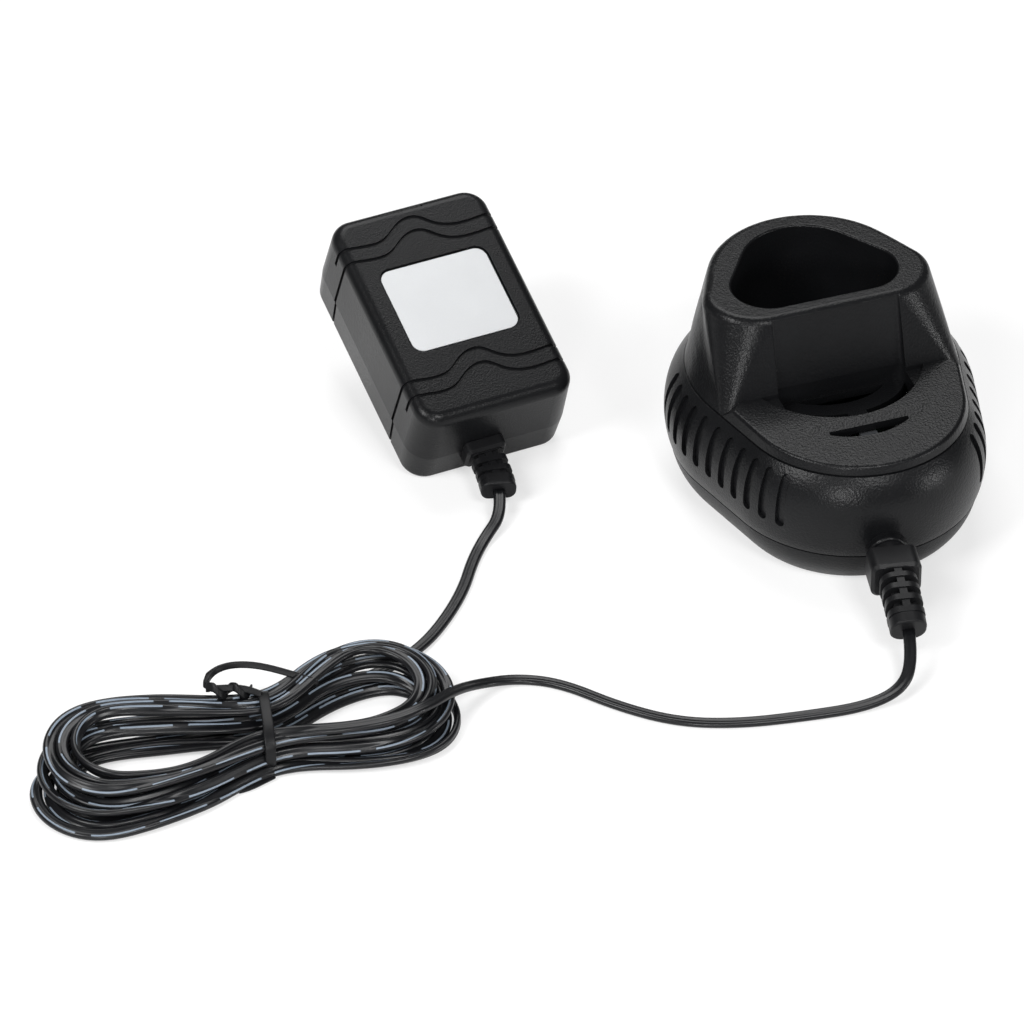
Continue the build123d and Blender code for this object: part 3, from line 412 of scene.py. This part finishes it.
def twisted(start, end, radius, turns, steps):
    """Points on a helix from start to end, for the twisted part of the tie."""
    line = Vector(end) - Vector(start)
    first = line.cross(Vector((0, 0, 1))).normalized()
    second = line.cross(first).normalized()
    points = []
    for step in range(steps + 1):
        angle = 2 * math.pi * turns * step / steps
        round_line = (first * math.cos(angle) + second * math.sin(angle)) * radius
        points.append(Vector(start) + line * (step / steps) + round_line)
    return points


tie_band = ribbon("tie_band", round_waist(28), tie_along * TIE_WIDTH, TIE_THICKNESS)
KNOT_ENDS = ((-192.0, -53.0, 14.6), (-204.0, -50.4, 15.8))
tie_knot = ribbon("tie_knot", twisted(*KNOT_ENDS, 1.3, 2.0, 20), (0.6, 1.5, 1.9), 1.7)
TAIL_POINTS = [
    (-190.0, -55.6, 14.8), (-194.0, -52.4, 15.8), (-199.0, -50.8, 16.0), (-202.6, -50.2, 16.0),
    (-203.8, -47.6, 16.0), (-202.0, -44.4, 16.0), (-198.6, -42.0, 16.0), (-193.6, -41.4, 15.8),
    (-187.0, -43.4, 15.2), (-180.0, -47.4, 13.6), (-172.5, -51.6, 11.4),
]
tie_loop = ribbon("tie_loop", TAIL_POINTS, (0.5, 1.0, 1.6), 1.7)
TAB_POINTS = [(-193.0, -73.6, 1.0), (-196.5, -74.6, 0.9), (-200.5, -76.0, 0.8), (-204.6, -76.4, 0.8)]
tie_tab = ribbon("tie_tab", TAB_POINTS, (1.2, -2.8, 0.0), 0.8)
for piece in (tie_band, tie_knot, tie_loop, tie_tab):
    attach(piece, "cord_set")
    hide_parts("cable_tie")

# %% [markdown]
# ## Shader maths in Python
# A finish is a small program of nodes. Laying those nodes by hand takes many lines, so one class wraps a
# node's output: arithmetic on it adds Math nodes, and one method adds any other node, its settings first
# and then its sockets. Expressions such as 1 - mask then read as they would on paper.

# %% Socket maths
class Wire:
    """A node's output in a finish; arithmetic on it adds Math nodes."""

    def __init__(self, tree, output=None):
        self.tree = tree
        self.output = output

    def node(self, kind, settings, sockets, output=0):
        """Adds a node: its settings first, then the values or links of its sockets."""
        made = self.tree.nodes.new(kind)
        for name, value in settings.items():
            setattr(made, name, value)
        for name, value in sockets.items():
            if isinstance(value, Wire):
                self.tree.links.new(value.output, made.inputs[name])
            else:
                made.inputs[name].default_value = value
        return Wire(self.tree, made.outputs[output])

    def math(self, operation, first, second=0.0):
        return self.node("ShaderNodeMath", {"operation": operation}, {0: first, 1: second})

    def __add__(self, other):
        return self.math("ADD", self, other)

    __radd__ = __add__

    def __mul__(self, other):
        return self.math("MULTIPLY", self, other)

    __rmul__ = __mul__

    def __sub__(self, other):
        return self.math("SUBTRACT", self, other)

    def __rsub__(self, other):
        return self.math("SUBTRACT", other, self)

    def __truediv__(self, other):
        return self.math("DIVIDE", self, other)

    def step_up(self, low, high):
        """0 below low, 1 above high, and smooth between."""
        settings = {"interpolation_type": "SMOOTHSTEP"}
        return self.node("ShaderNodeMapRange", settings, {"Value": self, "From Min": low, "From Max": high})

    def mix(self, first, second):
        """A colour that goes from first to second as this value goes from 0 to 1."""
        return self.node("ShaderNodeMix", {"data_type": "RGBA"}, {0: self, 6: first, 7: second}, 2)

    def noise(self, where, scale, detail=2.0):
        return self.node("ShaderNodeTexNoise", {}, {"Vector": where, "Scale": scale, "Detail": detail})

    def cells(self, where, scale):
        sockets = {"Vector": where, "Scale": scale, "Smoothness": 0.6}
        return self.node("ShaderNodeTexVoronoi", {"feature": "SMOOTH_F1"}, sockets)

    def bump(self, height, depth, strength=1.0):
        return self.node("ShaderNodeBump", {}, {"Height": height, "Distance": depth, "Strength": strength})


# %% Starting a finish
FINISHES = {}


def start_finish(name):
    """A new material, a wire to build on, the object's own coordinates and a way to set the surface."""
    material = bpy.data.materials.new(name)
    material.use_nodes = True
    tree = material.node_tree
    wire = Wire(tree)
    surface = tree.nodes["Principled BSDF"]

    def set_surface(sockets):
        for socket, value in sockets.items():
            if isinstance(value, Wire):
                tree.links.new(value.output, surface.inputs[socket])
            else:
                surface.inputs[socket].default_value = value

    FINISHES[name] = material
    return wire, wire.node("ShaderNodeTexCoord", {}, {}, "Object"), set_surface


# %% [markdown]
# ## Moulded plastic
# The cases are injection moulded in black plastic. The mould was spark eroded, which leaves a grain of
# soft bumps, two thirds of a millimetre across or less, and it breaks every highlight into a satin sheen.
# A roughness value alone gives a smooth sheen with no grain, so cells and noise drive a bump too.
# Handling leaves the plastic a little duller in places, which a slow noise in the roughness gives.

# %% Moulded finishes
def moulded(name, colour, roughness, grain, depth):
    """Black plastic with a fine grain; grain is in cells per metre and depth in metres."""
    wire, where, set_surface = start_finish(name)
    grains = wire.cells(where, grain)
    fine = wire.noise(where, grain * 1.9, 3.0)
    slow = wire.noise(where, 38.0, 3.0)
    height = grains * 0.75 + fine * 0.5
    dark = tuple(v * 0.82 for v in colour) + (1.0,)
    light = tuple(v * 1.25 for v in colour) + (1.0,)
    shade = (slow * 0.7 + fine * 0.3).step_up(0.3, 0.72)
    set_surface({
        "Base Color": shade.mix(dark, light),
        "Roughness": roughness + (slow - 0.5) * 0.16 + (fine - 0.5) * 0.1,
        "Normal": wire.bump(height, depth),
        "Specular IOR Level": 0.17,
    })


moulded("case_black", (0.0050, 0.0052, 0.0058), 0.31, 1500.0, 0.00008)
moulded("pan_black", (0.0048, 0.0050, 0.0056), 0.36, 1600.0, 0.00007)
moulded("adapter_black", (0.0054, 0.0056, 0.0062), 0.30, 2000.0, 0.00005)
moulded("part_black", (0.0080, 0.0080, 0.0086), 0.40, 2600.0, 0.00001)
moulded("flex_black", (0.0060, 0.0061, 0.0068), 0.42, 2900.0, 0.00001)
moulded("foot_rubber", (0.0300, 0.0300, 0.0300), 0.78, 1600.0, 0.00004)
print("moulded finishes:", sorted(FINISHES))

# %% [markdown]
# ## Cord jacket
# The jacket is glossy extruded PVC. One wire carries a printed row of grey-blue dashes that marks its
# polarity. The UV map runs in metres along the cord, so the dashes come from the remainder of the
# distance over their pitch, and their width from the place round the section.

# %% Cord finish
DASH_PITCH = 18.8 * MM
DASH_SHARE = 0.77
STRIPE_PLACE = 0.155
STRIPE_HALF = 0.028
wire, where, set_surface = start_finish("cord_black")
map_point = wire.node("ShaderNodeUVMap", {"uv_map": "cord_uv"}, {})
along = wire.node("ShaderNodeSeparateXYZ", {}, {0: map_point}, 0)
around = wire.node("ShaderNodeSeparateXYZ", {}, {0: map_point}, 1)
phase = wire.math("FRACT", along / DASH_PITCH)
off_line = wire.math("ABSOLUTE", around - STRIPE_PLACE)
worn = wire.noise(where, 900.0, 3.0)
in_dash = 1 - phase.step_up(DASH_SHARE - 0.01, DASH_SHARE + 0.01)
in_stripe = 1 - off_line.step_up(STRIPE_HALF - 0.006, STRIPE_HALF + 0.006)
ink = in_dash * in_stripe * (0.72 + worn * 0.4)
slow = wire.noise(where, 60.0, 2.0)
jacket = slow.mix((0.0040, 0.0042, 0.0050, 1), (0.0070, 0.0073, 0.0085, 1))
set_surface({
    "Base Color": ink.mix(jacket, (0.19, 0.23, 0.28, 1)),
    "Roughness": 0.24 + slow * 0.14 + ink * 0.12,
    "Normal": wire.bump(wire.noise(where, 420.0, 2.0), 0.00003),
    "Specular IOR Level": 0.30,
})
print("dash pitch, mm:", round(DASH_PITCH / MM, 1))

# %% [markdown]
# ## Metals
# The plate is thin satin foil, the pins and the jack are nickel plated, and the parts inside are steel,
# bronze, aluminium and varnished copper wire. A metal shows by the way its roughness changes: brushed
# along one direction, cast in blotches, or wound in fine rows. Stretched noise gives brushing, and a wave
# texture gives rows of wire and stacked laminations, with painted shade in the grooves between the rows.

# %% Metal finishes
def metal(name, colour, roughness, stretch, scale, metallic=1.0, depth=0.000004):
    """Metal whose fine marks are noise, stretched along one axis of the object."""
    wire, where, set_surface = start_finish(name)
    pulled = wire.node("ShaderNodeMapping", {}, {"Vector": where, "Scale": stretch})
    marks = wire.noise(pulled, scale, 3.0)
    blotch = wire.noise(where, 70.0, 2.0)
    dark = tuple(v * 0.86 for v in colour) + (1.0,)
    light = tuple(min(1.0, v * 1.06) for v in colour) + (1.0,)
    set_surface({
        "Base Color": (blotch * 0.6 + marks * 0.4).mix(dark, light),
        "Roughness": roughness + (marks - 0.5) * 0.16 + (blotch - 0.5) * 0.1,
        "Metallic": metallic,
        "Normal": wire.bump(marks, depth),
    })


metal("plate_silver", (0.52, 0.53, 0.54), 0.42, (1.0, 1.0, 1.0), 2400.0, 0.25)
metal("steel", (0.62, 0.62, 0.64), 0.36, (1.0, 1.0, 1.0), 1500.0)
metal("nickel", (0.78, 0.76, 0.72), 0.22, (1.0, 1.0, 0.1), 1800.0)
metal("spring_bronze", (0.78, 0.60, 0.36), 0.30, (1.0, 0.1, 1.0), 1800.0)
metal("sink_alu", (0.72, 0.73, 0.74), 0.38, (1.0, 1.0, 0.05), 1300.0)


def rows(name, colour, roughness, scale, direction, depth, metallic):
    """A surface of fine parallel rows, such as wound wire or stacked sheets, with painted shade in the
    grooves.
    """
    wire, where, set_surface = start_finish(name)
    settings = {"bands_direction": direction, "wave_profile": "SIN"}
    rows_and_groove_shade = wire.node("ShaderNodeTexWave", settings, {"Vector": where, "Scale": scale, "Distortion": 0.4})
    grime = wire.noise(where, 120.0, 3.0)
    # Painted shade: the colour drops to under half in the grooves between the rows; the grime noise adds a
    # little real tone.
    dark = tuple(v * 0.45 for v in colour) + (1.0,)
    set_surface({
        "Base Color": (rows_and_groove_shade * 0.8 + grime * 0.2).mix(dark, tuple(colour) + (1.0,)),
        "Roughness": roughness + grime * 0.15,
        "Metallic": metallic,
        "Normal": wire.bump(rows_and_groove_shade, depth),
    })


rows("copper", (0.72, 0.33, 0.16), 0.30, 900.0, "X", 0.00012, 0.8)
rows("core_iron", (0.16, 0.16, 0.17), 0.45, 620.0, "Z", 0.00006, 0.6)
print("metals:", len(FINISHES))

# %% [markdown]
# ## Boards, lenses and small mouldings
# The boards are green with a solder mask over slightly raised tracks, which straight-edged cells imitate.
# The light guide is a cloudy clear bar, and the lamps have tinted lenses. The bobbin is cream nylon, and
# the capacitors wear a shrunk dark sleeve.

# %% Other finishes
wire, where, set_surface = start_finish("board_green")
tracks = wire.node("ShaderNodeTexBrick", {"offset": 0.37}, {
    "Vector": where, "Scale": 260.0, "Color1": (1, 1, 1, 1), "Color2": (0.6, 0.6, 0.6, 1),
    "Mortar": (0, 0, 0, 1), "Mortar Size": 0.09,
}, 1)
specks = wire.noise(where, 700.0, 3.0)
set_surface({
    "Base Color": (tracks * 0.7 + specks * 0.3).mix((0.012, 0.10, 0.035, 1), (0.03, 0.19, 0.07, 1)),
    "Roughness": 0.34 + specks * 0.14,
    "Normal": wire.bump(tracks, 0.00003),
})


def clear(name, colour, roughness, passing):
    """Clear or tinted plastic with a cloudy core."""
    wire, where, set_surface = start_finish(name)
    cloud = wire.noise(where, 260.0, 3.0)
    dark = tuple(v * 0.8 for v in colour) + (1.0,)
    set_surface({
        "Base Color": cloud.mix(dark, tuple(colour) + (1.0,)),
        "Roughness": roughness + cloud * 0.1,
        "Transmission Weight": passing,
        "IOR": 1.49,
        "Normal": wire.bump(cloud, 0.00001),
    })


clear("guide_clear", (0.060, 0.063, 0.068), 0.30, 0.1)
clear("lamp_lens", (0.42, 0.72, 0.34), 0.16, 0.3)
clear("cream_plastic", (0.74, 0.68, 0.55), 0.42, 0.0)
clear("can_sleeve", (0.035, 0.065, 0.16), 0.28, 0.0)

# %% Dress every piece
for part in frame["record"]["subparts"]:
    piece = bpy.data.objects[part["node"]]
    finish = FINISHES[part["material_slot"]]
    if not piece.material_slots:
        piece.data.materials.append(finish)
    for holder in piece.material_slots:
        holder.material = finish
for piece, name in ((twin_cord, "cord_black"), (tie_band, "flex_black"), (tie_knot, "flex_black"),
                    (tie_loop, "flex_black"), (tie_tab, "flex_black")):
    piece.data.materials.clear()
    piece.data.materials.append(FINISHES[name])

# %% [markdown]
# ## Studio
# The charger stands on white paper under soft lights, as in a catalogue, with two small ones low in
# front. The paper is white because of its own colour and a share of plain white that only the camera and
# reflections see, so the lights stay at a plain level and the contact shadows remain.

# %% Floor
select_nothing()
bpy.ops.mesh.primitive_plane_add(size=6, location=(0, 0, 0))
floor = bpy.context.object
floor.name = "floor"
paper = bpy.data.materials.new("paper")
paper.use_nodes = True
PAPER_GLOW = 0.55
MIRRORED_SHARE = 0.3
wire = Wire(paper.node_tree)
seen = wire.node("ShaderNodeLightPath", {}, {}, "Is Camera Ray")
mirrored = wire.node("ShaderNodeLightPath", {}, {}, "Is Glossy Ray")
plain = wire.node("ShaderNodeBsdfDiffuse", {}, {"Color": (0.93, 0.93, 0.93, 1)})
white = wire.node("ShaderNodeEmission", {}, {"Color": (1, 1, 1, 1), "Strength": 1.0})
glow = (seen + mirrored * MIRRORED_SHARE) * PAPER_GLOW
lit = wire.node("ShaderNodeMixShader", {}, {0: glow, 1: plain, 2: white})
paper.node_tree.links.new(lit.output, paper.node_tree.nodes["Material Output"].inputs[0])
floor.data.materials.append(paper)

# %% Lights and world
def soft_light(name, place, aim, width, power):
    """A square soft light of a width in metres, aimed at a point."""
    light = bpy.data.objects.new(name, bpy.data.lights.new(name, "AREA"))
    bpy.context.collection.objects.link(light)
    light.data.energy = power
    light.data.size = width
    light.location = place
    light.rotation_euler = (Vector(aim) - Vector(place)).to_track_quat("-Z", "Y").to_euler()


LIGHTS = [
    ("left_box", (-0.95, -0.30, 0.90), (-0.1, 0, 0), 0.50, 11),
    ("front_box", (0.05, -0.95, 1.05), (-0.05, 0, 0), 0.40, 9),
    ("back_box", (0.15, 0.80, 1.30), (-0.1, 0, 0), 0.90, 13),
    ("left_low", (-0.62, -1.20, 0.50), (0, 0, 0.03), 0.22, 6),
    ("right_low", (1.15, -0.95, 0.30), (0, 0, 0.03), 0.22, 5),
]
for light_values in LIGHTS:
    soft_light(*light_values)
STUDIO_FILL = 0.12
world = bpy.data.worlds.new("studio")
bpy.context.scene.world = world
world.use_nodes = True
wire = Wire(world.node_tree)
seen = wire.node("ShaderNodeLightPath", {}, {}, "Is Camera Ray")
backdrop = world.node_tree.nodes["Background"]
backdrop.inputs[0].default_value = (1, 1, 1, 1)
world.node_tree.links.new((STUDIO_FILL + seen * (1 - STUDIO_FILL)).output, backdrop.inputs[1])
